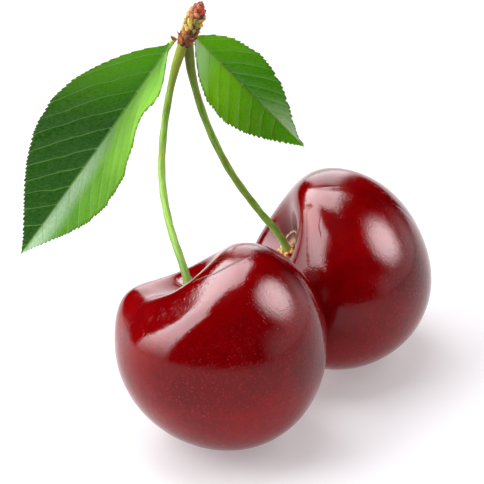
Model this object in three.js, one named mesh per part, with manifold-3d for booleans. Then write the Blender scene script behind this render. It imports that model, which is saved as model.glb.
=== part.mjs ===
// A pair of sweet cherries, picked with the spur that their stalks and two leaves grow from.
// Millimetres, +Z up. The fruits rest side by side on the ground and lean on the tip of the
// large leaf, so the pair lies there unheld. Every grown piece is one closed solid.
import * as THREE from 'three';
import { mergeVertices } from 'three/addons/utils/BufferGeometryUtils.js';
import Module from 'manifold-3d';

const wasm = await Module();
wasm.setup();

const { Vector3, Matrix4, MathUtils } = THREE;
const { degToRad, lerp } = MathUtils;

// Driving dimensions
const gap = 0.3;                // clearance between pieces that grow from each other
const restDepth = 0.3;          // how far the ground flattens a fruit
const fruitGap = 0.8;           // between the two fruits where they come nearest

const frontFruit = {
  cheekWidth: 25.4,             // across the two full cheeks
  sutureWidth: 24.2,            // across the suture line, between the cheeks
  height: 25.3,                 // from the shoulder level to the blossom end
  taper: 0.06,                  // how much fuller the stalk half is than the blossom half
  cavityDepth: 5.2,             // the dip that the stalk sits in
  cavityRadius: 5.05,
  sutureShoulders: [-0.2, 1.2],     // how the rim swells at each end of the suture
  cheekShoulders: [-2, -0.8],       // and over each cheek
  leanTowards: 147.9,           // compass of the stalk end, degrees from +X
  lean: 36.3,                   // tilt of the stalk end away from upright, degrees
  turn: -15,                    // turn of the suture about the fruit's own axis, degrees
};
const backFruit = {
  cheekWidth: 28.2,
  sutureWidth: 23.2,
  height: 23.6,
  taper: 0.08,
  cavityDepth: 5,
  cavityRadius: 5,
  sutureShoulders: [0.95, 0.5],
  cheekShoulders: [-0.9, -1.55],
  leanTowards: 193.5,
  lean: 60.4,
  turn: 16.6,
};
const fruitBearing = 56.8;      // compass from the front fruit to the back one
const shoulderAngle = 0.57;     // where the shoulders crest, radians from the axis
const shoulderSpread = 0.42;

const stalkThickness = 1.04;
const stalkFootThickness = 1.55;  // the flare that sits in the fruit
const stalkHeadThickness = 1.2;   // the flare below the spur
const stalkReach = 31.9;          // straight from the front fruit's cavity to the spur
const stalkHeading = 92.5;        // compass of that line
// How a stalk leaves its fruit and arrives at the spur, as shares of its straight reach
const frontStalk = { leaves: [-0.05, 0.09, 0.18], arrives: [0.16, 0.11, 0.57] };
const backStalk = { leaves: [-0.01, -0.02, 0.13], arrives: [-0.1, 0.13, 0.61] };

const spurLength = 5.9;
const spurThickness = 2.5;
const spurFootThickness = 1.7;
const spurLeansAlong = [0.4, 0.26, 0.88];
const stalkRowHeading = 40;       // compass of the line on which the two stalks meet it
const petioleRise = 0.1;          // the large leaf's foot above the spur's

const bladeThickness = 0.4;
const midribThickness = 0.9;
const leafFacing = [0, -0.9, 0.44];   // the side that the folded halves open towards
const largeLeaf = {
  length: 49.5,
  halfWidth: 10,
  roundBase: 0.62,              // powers of the outline at its base and at its tip
  sharpTip: 1.2,
  foldLeft: [44, 43],           // fold of each half up from flat, at base and tip, degrees
  foldRight: [70, 39],
  attached: 165,                // compass of the side of the spur that it grows from
  heading: 135,
  rise: -52.5,                  // the slope of its chord from the spur down to its tip, degrees
  arch: 1.5,                    // how far the midrib arches away from its straight chord
  tipHeight: 0.1,               // the tip's middle above the ground that it rests on
};
const smallLeaf = {
  length: 28.1,
  halfWidth: 5.6,
  roundBase: 0.65,
  sharpTip: 1.14,
  foldLeft: [36, 22],
  foldRight: [31, 85],
  attached: 50,
  heading: 42.8,
  rise: -47.4,
  arch: 0.9,
};
const stipule = {
  length: 0.9,
  halfWidth: 0.4,
  roundBase: 0.4,
  sharpTip: 0.8,
  foldLeft: [20, 20],
  foldRight: [20, 20],
  heading: 195,
  rise: 12,
  arch: 0.1,
};

// Mesh fineness
const fruitSegments = 44;
const fruitRings = 26;
const stalkSides = 10;
const stalkSteps = 22;
const leafSteps = 40;
const leafColumns = 8;
const stipuleSteps = 8;
const stipuleColumns = 2;
const spurSides = 18;

const finish = {
  fruit: { color: 0x7a0b16, roughness: 0.18, metalness: 0 },
  stalk: { color: 0x7f9b45, roughness: 0.5, metalness: 0 },
  leaf: { color: 0x4c9a1c, roughness: 0.4, metalness: 0 },
  spur: { color: 0x8a6a35, roughness: 0.75, metalness: 0 },
};

const down = new Vector3(0, 0, -1);
const vector = (list) => new Vector3(...list);

// Unit direction from a compass angle and a climb, both in degrees
function direction(heading, rise) {
  const level = Math.cos(degToRad(rise));
  return new Vector3(
    Math.cos(degToRad(heading)) * level,
    Math.sin(degToRad(heading)) * level,
    Math.sin(degToRad(rise)),
  );
}

// Moves every vertex of a geometry by a rule and merges the seams into one closed skin
function shaped(geometry, rule) {
  const position = geometry.attributes.position;
  const point = new Vector3();
  for (let i = 0; i < position.count; i += 1) {
    point.fromBufferAttribute(position, i);
    point.copy(rule(point));
    position.setXYZ(i, point.x, point.y, point.z);
  }
  geometry.deleteAttribute('normal');
  geometry.deleteAttribute('uv');
  const merged = mergeVertices(geometry);
  merged.computeVertexNormals();
  return merged;
}

function toManifold(geometry) {
  return new wasm.Manifold(new wasm.Mesh({
    numProp: 3,
    vertProperties: new Float32Array(geometry.attributes.position.array),
    triVerts: new Uint32Array(geometry.index.array),
  }));
}

function toGeometry(manifold) {
  const mesh = manifold.getMesh();
  const geometry = new THREE.BufferGeometry();
  geometry.setAttribute('position', new THREE.BufferAttribute(mesh.vertProperties, 3));
  geometry.setIndex(new THREE.BufferAttribute(mesh.triVerts, 1));
  geometry.computeVertexNormals();
  return geometry;
}

// Fruits

// One point of a fruit's skin about its own middle: theta from the stalk end, phi around it
// from one end of the suture
function fruitSkin(fruit, theta, phi) {
  const { cheekWidth, sutureWidth, height, sutureShoulders, cheekShoulders } = fruit;
  const across = Math.cos(phi);
  const aside = Math.sin(phi);
  const radius = lerp(cheekWidth, sutureWidth, across ** 2) / 2;
  const ring = radius * Math.sin(theta) * (1 + fruit.taper * Math.cos(theta));
  const shoulder = sutureShoulders[across > 0 ? 0 : 1] * across ** 2
    + cheekShoulders[aside < 0 ? 0 : 1] * aside ** 2;
  const swell = Math.exp(-(((theta - shoulderAngle) / shoulderSpread) ** 2))
    * Math.sin(theta) / Math.sin(shoulderAngle);
  const inStalkHalf = theta < Math.PI / 2;
  const dip = inStalkHalf ? fruit.cavityDepth * Math.exp(-((ring / fruit.cavityRadius) ** 2)) : 0;
  return new Vector3(
    ring * across,
    ring * aside,
    (height / 2) * Math.cos(theta) + swell * shoulder - dip,
  );
}

// The fruit's axis points out of its cavity; its cheeks turn about that axis
function fruitAxes(fruit) {
  const axis = direction(fruit.leanTowards, 90 - fruit.lean);
  const side = new Vector3(1, 0, 0).addScaledVector(axis, -axis.x).normalize();
  side.applyAxisAngle(axis, degToRad(fruit.turn));
  const cross = new Vector3().crossVectors(axis, side);
  return new Matrix4().makeBasis(side, cross, axis);
}

// A fruit turned as it lies, its middle above the point (x, y), its underside flattened by
// the ground. Also gives its middle, its axis and the floor of its cavity.
function growFruit(fruit) {
  const axes = fruitAxes(fruit);
  const ball = new THREE.SphereGeometry(1, fruitSegments, fruitRings);
  const skin = shaped(ball, (p) => {
    const theta = Math.acos(MathUtils.clamp(p.y, -1, 1));
    return fruitSkin(fruit, theta, Math.atan2(-p.z, p.x)).applyMatrix4(axes);
  });
  const middle = new Vector3(0, 0, reach(skin, down) - restDepth);
  skin.translate(0, 0, middle.z);
  const axis = new Vector3().setFromMatrixColumn(axes, 2);
  return { skin, middle, axis, fruit };
}

function moveFruit(grown, along, distance) {
  const step = along.clone().multiplyScalar(distance);
  grown.skin.translate(step.x, step.y, step.z);
  grown.middle.add(step);
}

// How far a skin reaches along a direction
function reach(skin, along) {
  const position = skin.attributes.position;
  const point = new Vector3();
  let furthest = -Infinity;
  for (let i = 0; i < position.count; i += 1) {
    furthest = Math.max(furthest, point.fromBufferAttribute(position, i).dot(along));
  }
  return furthest;
}

// Cuts off what lies below the ground, which leaves the small flat that the fruit rests on
function flattened(grown) {
  const width = grown.fruit.cheekWidth * 2;
  const depth = width / 2;
  const ground = new THREE.BoxGeometry(width, width, depth);
  ground.translate(grown.middle.x, grown.middle.y, -depth / 2);
  const block = shaped(ground, (p) => p);
  return toGeometry(toManifold(grown.skin).subtract(toManifold(block)));
}

// The least distance between two skins, from vertex to vertex
function clearance(skinA, skinB) {
  const a = skinA.attributes.position;
  const b = skinB.attributes.position;
  const pointA = new Vector3();
  const pointB = new Vector3();
  let least = Infinity;
  for (let i = 0; i < a.count; i += 1) {
    pointA.fromBufferAttribute(a, i);
    for (let j = 0; j < b.count; j += 1) {
      least = Math.min(least, pointA.distanceToSquared(pointB.fromBufferAttribute(b, j)));
    }
  }
  return Math.sqrt(least);
}

// The back fruit starts clear of the front one and slides in until they all but touch
const front = growFruit(frontFruit);
const back = growFruit(backFruit);
const towardsBack = direction(fruitBearing, 0);
const farEnough = frontFruit.cheekWidth + backFruit.cheekWidth;
moveFruit(back, towardsBack, farEnough);
const slides = 12;
for (let slide = 0; slide < slides; slide += 1) {
  moveFruit(back, towardsBack, fruitGap - clearance(front.skin, back.skin));
}

// Stalks

// Where a stalk's foot stands above the cavity floor, far enough for its tilted end to clear it
function stalkSeat(grown, leaving) {
  const { height, cavityDepth, cavityRadius } = grown.fruit;
  const footRadius = stalkFootThickness / 2;
  const tilt = vector(leaving).angleTo(grown.axis);
  const floorRise = cavityDepth * (1 - Math.exp(-((footRadius / cavityRadius) ** 2)));
  const above = gap + floorRise + footRadius * Math.sin(tilt);
  return grown.middle.clone().addScaledVector(grown.axis, height / 2 - cavityDepth + above);
}

// A round stem along a curve: a cylinder bent onto it, its thickness given along its length
function stem(curve, sides, steps, thicknessAt) {
  const rod = new THREE.CylinderGeometry(1, 1, 1, sides, steps);
  const frames = curve.computeFrenetFrames(steps, false);
  return shaped(rod, (p) => {
    const along = p.y + 0.5;
    const step = Math.round(along * steps);
    const thickness = thicknessAt(along) / 2;
    return curve.getPointAt(along)
      .addScaledVector(frames.normals[step], p.z * thickness)
      .addScaledVector(frames.binormals[step], p.x * thickness);
  });
}

function growStalk(seat, head, leaves, arrives) {
  const span = seat.distanceTo(head);
  const curve = new THREE.CubicBezierCurve3(
    seat,
    seat.clone().addScaledVector(vector(leaves), span),
    head.clone().addScaledVector(vector(arrives), -span),
    head,
  );
  const footLength = 0.06;
  const headLength = 0.05;
  return stem(curve, stalkSides, stalkSteps, (along) => {
    const foot = Math.exp(-((along / footLength) ** 2));
    const top = Math.exp(-(((1 - along) / headLength) ** 2));
    return stalkThickness + (stalkFootThickness - stalkThickness) * foot
      + (stalkHeadThickness - stalkThickness) * top;
  });
}

const spurAxis = vector(spurLeansAlong).normalize();
const frontSeat = stalkSeat(front, frontStalk.leaves);
const backSeat = stalkSeat(back, backStalk.leaves);

// The pair leans back until the large leaf's tip is on the ground, so the leaf props the spur
// at this height and the front stalk's reach says how far back the spur is
const leafDrop = largeLeaf.length * Math.sin(degToRad(-largeLeaf.rise));
const spurHeight = largeLeaf.tipHeight + leafDrop - petioleRise;
const climb = spurHeight - frontSeat.z;
const spurFoot = frontSeat.clone()
  .addScaledVector(direction(stalkHeading, 0), Math.sqrt(stalkReach ** 2 - climb ** 2))
  .setZ(spurHeight);

// The stalks meet the spur side by side under its foot, each far enough below it to clear it
const stalkRow = direction(stalkRowHeading, 0);
stalkRow.addScaledVector(spurAxis, -stalkRow.dot(spurAxis)).normalize();
const headApart = (stalkHeadThickness + gap) / 2;
const headShift = stalkHeadThickness * 0.45;

function stalkHead(sideways, arriving) {
  const tilt = vector(arriving).angleTo(spurAxis);
  const below = gap + (stalkHeadThickness / 2) * Math.sin(tilt);
  return spurFoot.clone()
    .addScaledVector(spurAxis, -below)
    .addScaledVector(stalkRow, sideways);
}

const frontHead = stalkHead(headShift - headApart, frontStalk.arrives);
const backHead = stalkHead(headShift + headApart, backStalk.arrives);

// Spur: a stout twig end wrapped in old bud scales, drawn in to a dry point. Each pair is a
// share of the spur's length and its half-thickness there.
const spurFull = spurThickness / 2;
const spurProfile = [
  [0, spurFootThickness / 2], [0.12, spurFull * 0.82], [0.25, spurFull * 0.94],
  [0.36, spurFull * 0.9], [0.48, spurFull], [0.6, spurFull * 0.95], [0.7, spurFull * 0.98],
  [0.82, spurFull * 0.8], [0.93, spurFull * 0.45], [1, 0],
];

function spurRadius(share) {
  const next = spurProfile.findIndex(([end]) => end > share);
  const [start, from] = spurProfile[next - 1];
  const [end, to] = spurProfile[next];
  return lerp(from, to, (share - start) / (end - start));
}

function growSpur() {
  const outline = [[0, 0], ...spurProfile]
    .map(([share, radius]) => new THREE.Vector2(radius, share * spurLength));
  const turned = new THREE.LatheGeometry(outline, spurSides);
  const upright = new THREE.Quaternion().setFromUnitVectors(new Vector3(0, 1, 0), spurAxis);
  const scalesRound = 5;
  const scaleSwell = 0.07;
  return shaped(turned, (p) => {
    const height = p.y / spurLength;
    const twist = Math.atan2(p.z, p.x) + height * Math.PI;
    const swell = 1 + scaleSwell * Math.cos(scalesRound * twist) * Math.sin(Math.PI * height);
    return new Vector3(p.x * swell, p.y, p.z * swell).applyQuaternion(upright).add(spurFoot);
  });
}

// Leaves

// Half-width of a leaf at a share of its length, 1 at its widest
function outline(share, roundBase, sharpTip) {
  const widest = roundBase / (roundBase + sharpTip);
  const shape = (s) => s ** roundBase * (1 - s) ** sharpTip;
  return shape(share) / shape(widest);
}

const middlePull = 0.75;        // how far a cubic's middle follows its two inner points
const baseCrowding = 1.25;      // brings the stations closer together towards the base
const petioleShare = 0.03;      // the share of the length that is a plain foot
const tipHalf = 0.12;           // half-width of the blunt end of the tip
const edgeThinness = 0.6;       // thickness of the margin as a share of the blade's

// A thin leaf along its midrib, its halves folded up from it. The grid of a flat box becomes
// the blade: x runs from base to tip, y across, z through the thickness.
function growLeaf(base, tip, leaf, steps, columns) {
  const chord = tip.clone().sub(base);
  const facing = vector(leafFacing).normalize();
  const along = chord.clone().normalize();
  const away = facing.clone().negate().addScaledVector(along, facing.dot(along)).normalize();
  const lift = leaf.arch / middlePull;
  const midrib = new THREE.CubicBezierCurve3(
    base,
    base.clone().addScaledVector(chord, 1 / 3).addScaledVector(away, lift),
    base.clone().addScaledVector(chord, 2 / 3).addScaledVector(away, lift),
    tip,
  );
  const petioleHalf = Math.min(midribThickness / 2, leaf.halfWidth / 2);
  const flat = new THREE.BoxGeometry(1, 2, 1, steps, columns, 1);
  return shaped(flat, (p) => {
    const share = (p.x + 0.5) ** baseCrowding;
    const blade = MathUtils.clamp((share - petioleShare) / (1 - petioleShare), 0, 1);
    const width = leaf.halfWidth * outline(blade, leaf.roundBase, leaf.sharpTip);
    const half = Math.max(width, lerp(petioleHalf, tipHalf, share));
    const tangent = midrib.getTangentAt(share);
    const normal = facing.clone().addScaledVector(tangent, -facing.dot(tangent)).normalize();
    const left = new Vector3().crossVectors(tangent, normal);
    const hand = -Math.sign(p.y);
    const fold = hand > 0 ? leaf.foldLeft : leaf.foldRight;
    const angle = degToRad(lerp(fold[0], fold[1], share));
    const outward = left.clone().multiplyScalar(hand * Math.cos(angle))
      .addScaledVector(normal, Math.sin(angle));
    const face = normal.clone().multiplyScalar(Math.cos(angle))
      .addScaledVector(left, -hand * Math.sin(angle));
    const side = Math.abs(p.y) * half;
    const rib = Math.exp(-((side / midribThickness) ** 2)) * (1 - share);
    const thickness = lerp(bladeThickness, petioleHalf * 2, rib);
    const taper = lerp(1, edgeThinness, Math.abs(p.y));
    return midrib.getPointAt(share)
      .addScaledVector(outward, side)
      .addScaledVector(p.y === 0 ? normal : face, p.z * thickness * taper);
  });
}

// A point beside the leaning spur, this far up from its foot and this far out from its side
function besideSpur(heading, out, above) {
  const along = above / spurAxis.z;
  return spurFoot.clone()
    .addScaledVector(spurAxis, along)
    .addScaledVector(direction(heading, 0), spurRadius(along / spurLength) + gap + out);
}

// The tip of a leaf that leaves its base by its own heading, slope and length
function leafTip(base, leaf) {
  return base.clone().addScaledVector(direction(leaf.heading, leaf.rise), leaf.length);
}

const smallLeafOut = midribThickness * 0.4;
const smallLeafRise = midribThickness * 0.8;

// The large leaf hangs back from the spur until its tip rests on the ground
function growLargeLeaf() {
  const base = besideSpur(largeLeaf.attached, midribThickness / 2, petioleRise);
  return growLeaf(base, leafTip(base, largeLeaf), largeLeaf, leafSteps, leafColumns);
}

function growSmallLeaf() {
  const base = besideSpur(smallLeaf.attached, smallLeafOut, smallLeafRise);
  return growLeaf(base, leafTip(base, smallLeaf), smallLeaf, leafSteps, leafColumns);
}

// The stipule is the dry scale left beside the large leaf's foot
function growStipule() {
  const base = besideSpur(stipule.heading, 0, midribThickness);
  return growLeaf(base, leafTip(base, stipule), stipule, stipuleSteps, stipuleColumns);
}

// Assembly
const cherries = new THREE.Group();

function add(name, geometry, look) {
  const mesh = new THREE.Mesh(geometry, new THREE.MeshStandardMaterial(look));
  mesh.name = name;
  cherries.add(mesh);
}

add('front_fruit', flattened(front), finish.fruit);
add('back_fruit', flattened(back), finish.fruit);
add('front_stalk', growStalk(frontSeat, frontHead, frontStalk.leaves, frontStalk.arrives), finish.stalk);
add('back_stalk', growStalk(backSeat, backHead, backStalk.leaves, backStalk.arrives), finish.stalk);
add('spur', growSpur(), finish.spur);
add('large_leaf', growLargeLeaf(), finish.leaf);
add('small_leaf', growSmallLeaf(), finish.leaf);
add('stipule', growStipule(), finish.spur);

// The origin is the bottom centre of the whole pair
const box = new THREE.Box3().setFromObject(cherries);
const centre = box.getCenter(new Vector3());
cherries.position.set(-centre.x, -centre.y, -box.min.z);
cherries.updateMatrixWorld(true);

export default cherries;
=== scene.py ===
import bpy
import numpy as np
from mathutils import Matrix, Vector


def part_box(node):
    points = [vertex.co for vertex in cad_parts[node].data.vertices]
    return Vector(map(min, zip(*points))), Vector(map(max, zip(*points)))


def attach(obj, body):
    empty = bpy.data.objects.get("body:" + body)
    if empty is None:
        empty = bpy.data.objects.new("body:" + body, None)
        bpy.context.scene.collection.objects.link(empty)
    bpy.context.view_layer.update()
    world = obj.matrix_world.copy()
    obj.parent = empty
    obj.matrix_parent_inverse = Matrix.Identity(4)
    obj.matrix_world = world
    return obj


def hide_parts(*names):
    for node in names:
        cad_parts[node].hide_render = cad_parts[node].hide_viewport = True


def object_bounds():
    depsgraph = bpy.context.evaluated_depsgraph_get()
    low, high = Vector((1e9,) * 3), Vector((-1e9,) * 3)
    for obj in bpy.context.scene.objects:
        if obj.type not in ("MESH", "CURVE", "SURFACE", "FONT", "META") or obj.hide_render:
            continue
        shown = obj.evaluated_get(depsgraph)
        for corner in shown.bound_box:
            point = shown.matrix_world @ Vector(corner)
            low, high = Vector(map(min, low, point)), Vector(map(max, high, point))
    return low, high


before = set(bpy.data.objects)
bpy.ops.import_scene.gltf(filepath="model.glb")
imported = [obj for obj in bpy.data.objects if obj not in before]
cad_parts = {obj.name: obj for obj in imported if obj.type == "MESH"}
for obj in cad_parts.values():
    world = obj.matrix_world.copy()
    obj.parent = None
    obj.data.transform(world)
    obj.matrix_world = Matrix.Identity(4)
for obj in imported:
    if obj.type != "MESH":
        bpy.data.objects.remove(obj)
cad_low, cad_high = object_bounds()

MM = 0.001


# Fruits
# Two ripe sweet cherries: firm flesh under a thin, glossy, deep red skin with pale pores, a
# suture line down one side and a dip that the stalk sits in. Each grew as one piece. A ball is
# drawn out to the grown shape, and the ground presses a small flat under it.
FRONT_FRUIT = {
    "cheek_width": 26.1,                # across the two full cheeks
    "suture_width": 24.9,               # across the suture line
    "height": 25.3,
    "taper": 0.06,                      # how much fuller the stalk half is
    "cavity_depth": 5.2,
    "cavity_radius": 5.05,
    "suture_shoulders": (-0.2, 1.2),    # how the rim swells at each end of the suture
    "cheek_shoulders": (-2.0, -0.8),    # and over each cheek
    "lean_towards": 147.9,              # compass of the stalk end, degrees from +X
    "lean": 36.3,                       # its tilt away from upright
    "turn": -15.0,                      # turn of the suture about the fruit's own axis
    "crease": ((-64, 6.4), (-48, 8.2), (-22, 9.7)),   # a fine crease, a bumped groove also darkened with painted shade: turns and distances out
    "glint_line": (5.45, -112, -44),           # a painted highlight, a bright beige line in the stalk's dip broken up by noise: distance out, where it runs
    "soft_shoulder": (-150, 0.9),       # where a shoulder is worn lower, and by how much
}
BACK_FRUIT = {
    "cheek_width": 28.2,
    "suture_width": 23.2,
    "height": 23.6,
    "taper": 0.08,
    "cavity_depth": 5.0,
    "cavity_radius": 5.0,
    "suture_shoulders": (0.95, 0.5),
    "cheek_shoulders": (-0.9, -1.55),
    "lean_towards": 193.5,
    "lean": 60.4,
    "turn": 16.6,
    "crease": ((-44, 9.6), (-40, 9.3), (-36, 9.2)),
    "glint_line": (2.3, -60, 150),
    "soft_shoulder": (0, 0.0),          # none is worn here
}
FRUIT_SEGMENTS = 280
FRUIT_RINGS = 180
SHOULDER_ANGLE = 0.57                   # where the shoulders crest, radians from the axis
SHOULDER_SPREAD = 0.42
SOFT_SHOULDER_SPREAD = 28               # degrees round the fruit
REST_DEPTH = 0.3                        # how far the ground flattens a fruit
MARK_HALF_WIDTH = 0.15                  # of the crease and of the painted highlight line
SUTURE_DEPTH = 0.03
SUTURE_HALF_WIDTH = 0.035               # radians round the fruit
BROAD_LUMPS = 0.05                      # how far the flesh's lumps stand out
FINE_LUMPS = 0.03
CAVITY_SHADE_REACH = 3.0                 # how far out from the stalk the skin is darkened: painted shade in the stalk's dip
RUSSET_RING = 1.25                      # the rough brown ring round the stalk's foot
RUSSET_HALF_WIDTH = 0.35


def compass(heading, rise):
    """Unit direction from a compass angle and a climb, both in degrees."""
    heading, rise = np.radians(heading), np.radians(rise)
    return np.array((np.cos(heading) * np.cos(rise), np.sin(heading) * np.cos(rise), np.sin(rise)))


def unit(vector):
    vector = np.asarray(vector, float)
    return vector / np.linalg.norm(vector, axis=-1, keepdims=True)


def turned(vector, axis, angle):
    """A vector turned about an axis that it is square to."""
    angle = np.radians(angle)
    return vector * np.cos(angle) + np.cross(axis, vector) * np.sin(angle)


def add_primitive(operator, name, **settings):
    bpy.ops.object.select_all(action="DESELECT")
    operator(**settings)
    piece = bpy.context.object
    piece.name = piece.data.name = name
    return piece


def vertices(piece):
    places = np.empty(len(piece.data.vertices) * 3)
    piece.data.vertices.foreach_get("co", places)
    return places.reshape(-1, 3)


def shape(piece, places):
    piece.data.vertices.foreach_set("co", np.ascontiguousarray(places, float).ravel())
    piece.data.update()


def keep_value(piece, name, values):
    """Stores one number a vertex for the material to read."""
    attribute = piece.data.attributes.new(name, "FLOAT", "POINT")
    attribute.data.foreach_set("value", np.asarray(values, np.float32))


def edit(piece, *steps):
    """Runs edit-mode operators on all of a piece: each is an operator and its settings."""
    bpy.ops.object.select_all(action="DESELECT")
    piece.select_set(True)
    bpy.context.view_layer.objects.active = piece
    bpy.ops.object.mode_set(mode="EDIT")
    for operator, settings in steps:
        bpy.ops.mesh.select_all(action="SELECT")
        operator(**settings)
    bpy.ops.object.mode_set(mode="OBJECT")


def finish_mesh(piece, material):
    """Turns every face outwards, smooths the shading and gives the piece its finish."""
    edit(piece, (bpy.ops.mesh.normals_make_consistent, {"inside": False}))
    bpy.ops.object.shade_smooth()
    piece.data.materials.clear()
    piece.data.materials.append(material)


class Finish:
    """A material and its node tree, with short ways to add and join its nodes."""

    def __init__(self, name):
        self.material = bpy.data.materials.new(name)
        self.material.use_nodes = True
        self.tree = self.material.node_tree
        self.surface = self.tree.nodes["Principled BSDF"]
        self.output = self.tree.nodes["Material Output"]

    def feed(self, socket, value):
        if isinstance(value, bpy.types.NodeSocket):
            self.tree.links.new(value, socket)
        else:
            socket.default_value = value

    def node(self, kind, settings=(), **inputs):
        made = self.tree.nodes.new("ShaderNode" + kind)
        for key, value in dict(settings).items():
            setattr(made, key, value)
        for key, value in inputs.items():
            self.feed(made.inputs[key.replace("_", " ")], value)
        return made

    def place(self):
        return self.node("TexCoord").outputs["Object"]

    def value(self, name):
        return self.node("Attribute", {"attribute_name": name}).outputs["Fac"]

    def math(self, operation, *numbers, clamp=False):
        made = self.node("Math", {"operation": operation, "use_clamp": clamp})
        for socket, number in zip(made.inputs, numbers):
            self.feed(socket, number)
        return made.outputs[0]

    def spread(self, value, low, high, bottom=0.0, top=1.0):
        """Eases a value from bottom to top as it goes from low to high."""
        made = self.node("MapRange", {"interpolation_type": "SMOOTHSTEP"})
        for socket, number in zip(made.inputs, (value, low, high, bottom, top)):
            self.feed(socket, number)
        return made.outputs["Result"]

    def noise(self, vector, scale, detail=3.0, roughness=0.5):
        made = self.node("TexNoise", Vector=vector, Scale=scale, Detail=detail, Roughness=roughness)
        return made.outputs["Fac"]

    def blend(self, share, first, second, kind="MIX"):
        made = self.node("Mix", {"data_type": "RGBA", "blend_type": kind})
        for socket, value in zip((made.inputs[0], made.inputs[6], made.inputs[7]),
                                 (share, first, second)):
            self.feed(socket, value)
        return made.outputs[2]

    def ramp(self, share, *stops):
        made = self.node("ValToRGB", Fac=share)
        elements = made.color_ramp.elements
        while len(elements) < len(stops):
            elements.new(0.5)
        for element, (position, colour) in zip(elements, stops):
            element.position = position
            element.color = colour
        return made.outputs["Color"]

    def bump(self, height, distance):
        return self.node("Bump", Height=height, Distance=distance, Strength=1.0).outputs["Normal"]

    def set(self, **inputs):
        for key, value in inputs.items():
            self.feed(self.surface.inputs[key.replace("_", " ")], value)


def colour(red, green, blue):
    """A colour given as it looks, 0 to 255, as the shader's linear values."""
    shown = np.array((red, green, blue)) / 255
    linear = np.where(shown <= 0.04045, shown / 12.92, ((shown + 0.055) / 1.055) ** 2.4)
    return (*linear, 1.0)


def cherry_skin():
    skin = Finish("cherry_skin")
    place = skin.place()
    cloud = skin.noise(place, 95.0, 3.0, 0.55)
    red = skin.ramp(cloud, (0.3, colour(92, 0, 1)), (0.5, colour(121, 0, 2)),
                    (0.7, colour(139, 1, 5)))
    mottle = skin.spread(skin.noise(place, 900.0, 4.0, 0.6), 0.4, 0.7, 0.0, 0.3)
    mottled = skin.blend(mottle, red, colour(88, 2, 10))
    pores = skin.node("TexVoronoi", {"feature": "F1"}, Vector=place, Scale=3300.0).outputs["Distance"]
    pore = skin.spread(pores, 0.1, 0.55, 1.0, 0.0)
    patchy = skin.spread(skin.noise(place, 1300.0, 3.0, 0.6), 0.36, 0.64)
    speckle = skin.math("MULTIPLY", pore, patchy)
    low_down = skin.spread(skin.value("blossom"), 0.35, 1.0, 0.0, 0.45)
    speckled = skin.blend(skin.math("MULTIPLY", speckle, low_down), mottled, colour(186, 40, 58))
    # Painted shade: the skin is darkened in and round the stalk's dip
    deep = skin.blend(skin.math("MULTIPLY", skin.value("cavity"), 0.8), speckled, colour(62, 3, 5))

    def mark(name):
        off = skin.math("ABSOLUTE", skin.value(name + "_off"))
        line = skin.spread(off, MARK_HALF_WIDTH * 0.3, MARK_HALF_WIDTH, 1.0, 0.0)
        return skin.math("MULTIPLY", line, skin.value(name + "_run"))

    crease = mark("crease")
    # Painted shade: the crease is coloured as a dark line as well as bumped in
    crease_shaded = skin.blend(skin.math("MULTIPLY", crease, 0.7), deep, colour(52, 6, 12))
    flaky = skin.spread(skin.noise(place, 1500.0, 2.0), 0.34, 0.52)
    # Painted highlight: a bright beige line along the stalk's dip, broken up by noise
    glint_line = skin.math("MULTIPLY", mark("glint_line"), flaky)
    glinted = skin.blend(skin.math("MULTIPLY", glint_line, 0.85), crease_shaded, colour(236, 196, 156))
    worn = skin.blend(skin.value("russet"), glinted, colour(226, 172, 128))
    grain = skin.noise(place, 2400.0, 3.0, 0.6)
    height = skin.math("ADD", skin.math("ADD", grain, speckle), skin.math("MULTIPLY", crease, -5.0))
    skin.set(
        Base_Color=worn,
        Roughness=skin.spread(skin.noise(place, 260.0, 2.0), 0.3, 0.7, 0.09, 0.15),
        IOR=1.31,
        Normal=skin.bump(height, 0.000009),
    )
    return skin.material


def fruit_axes(fruit):
    """The fruit's own directions: along the suture's ends, across them and out of the cavity."""
    axis = compass(fruit["lean_towards"], 90 - fruit["lean"])
    level = unit(np.array((1.0, 0.0, 0.0)) - axis * axis[0])
    side = turned(level, axis, fruit["turn"])
    return np.stack((side, np.cross(axis, side), axis))


def fruit_skin(fruit, theta, phi):
    """The skin about the fruit's middle, in its own directions: theta from the stalk end."""
    across, aside = np.cos(phi), np.sin(phi)
    radius = (fruit["cheek_width"] * aside ** 2 + fruit["suture_width"] * across ** 2) / 2
    ring = radius * np.sin(theta) * (1 + fruit["taper"] * np.cos(theta))
    suture, cheeks = fruit["suture_shoulders"], fruit["cheek_shoulders"]
    shoulder = (np.where(across > 0, suture[0], suture[1]) * across ** 2
                + np.where(aside < 0, cheeks[0], cheeks[1]) * aside ** 2)
    lowered, drop = fruit["soft_shoulder"]
    from_low = np.mod(np.degrees(phi) - lowered + 180, 360) - 180
    shoulder = shoulder - drop * np.exp(-(from_low / SOFT_SHOULDER_SPREAD) ** 2)
    swell = np.exp(-((theta - SHOULDER_ANGLE) / SHOULDER_SPREAD) ** 2)
    swell = swell * np.sin(theta) / np.sin(SHOULDER_ANGLE)
    stalk_half = theta < np.pi / 2
    cavity = fruit["cavity_depth"] * np.exp(-(ring / fruit["cavity_radius"]) ** 2)
    dip = np.where(stalk_half, cavity, 0)
    height = fruit["height"] / 2 * np.cos(theta) + swell * shoulder - dip

    # The suture line and the flesh's slight lumps
    suture_line = SUTURE_DEPTH * np.exp(-(phi / SUTURE_HALF_WIDTH) ** 2) * np.sin(theta) ** 2
    lumps = BROAD_LUMPS * np.sin(3 * theta + 2 * phi + 1) * np.sin(theta) ** 2
    lumps = lumps + FINE_LUMPS * np.sin(5 * theta - 3 * phi) * np.sin(theta) ** 2
    grown = 1 + (lumps - suture_line) / radius
    return np.stack((ring * across * grown, ring * aside * grown, height), 1), ring


def between(turn, start, end):
    """1 from start to end, fading over a few degrees."""
    return 1 / (1 + np.exp((start - turn) / 2)) / (1 + np.exp((turn - end) / 2))


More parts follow.
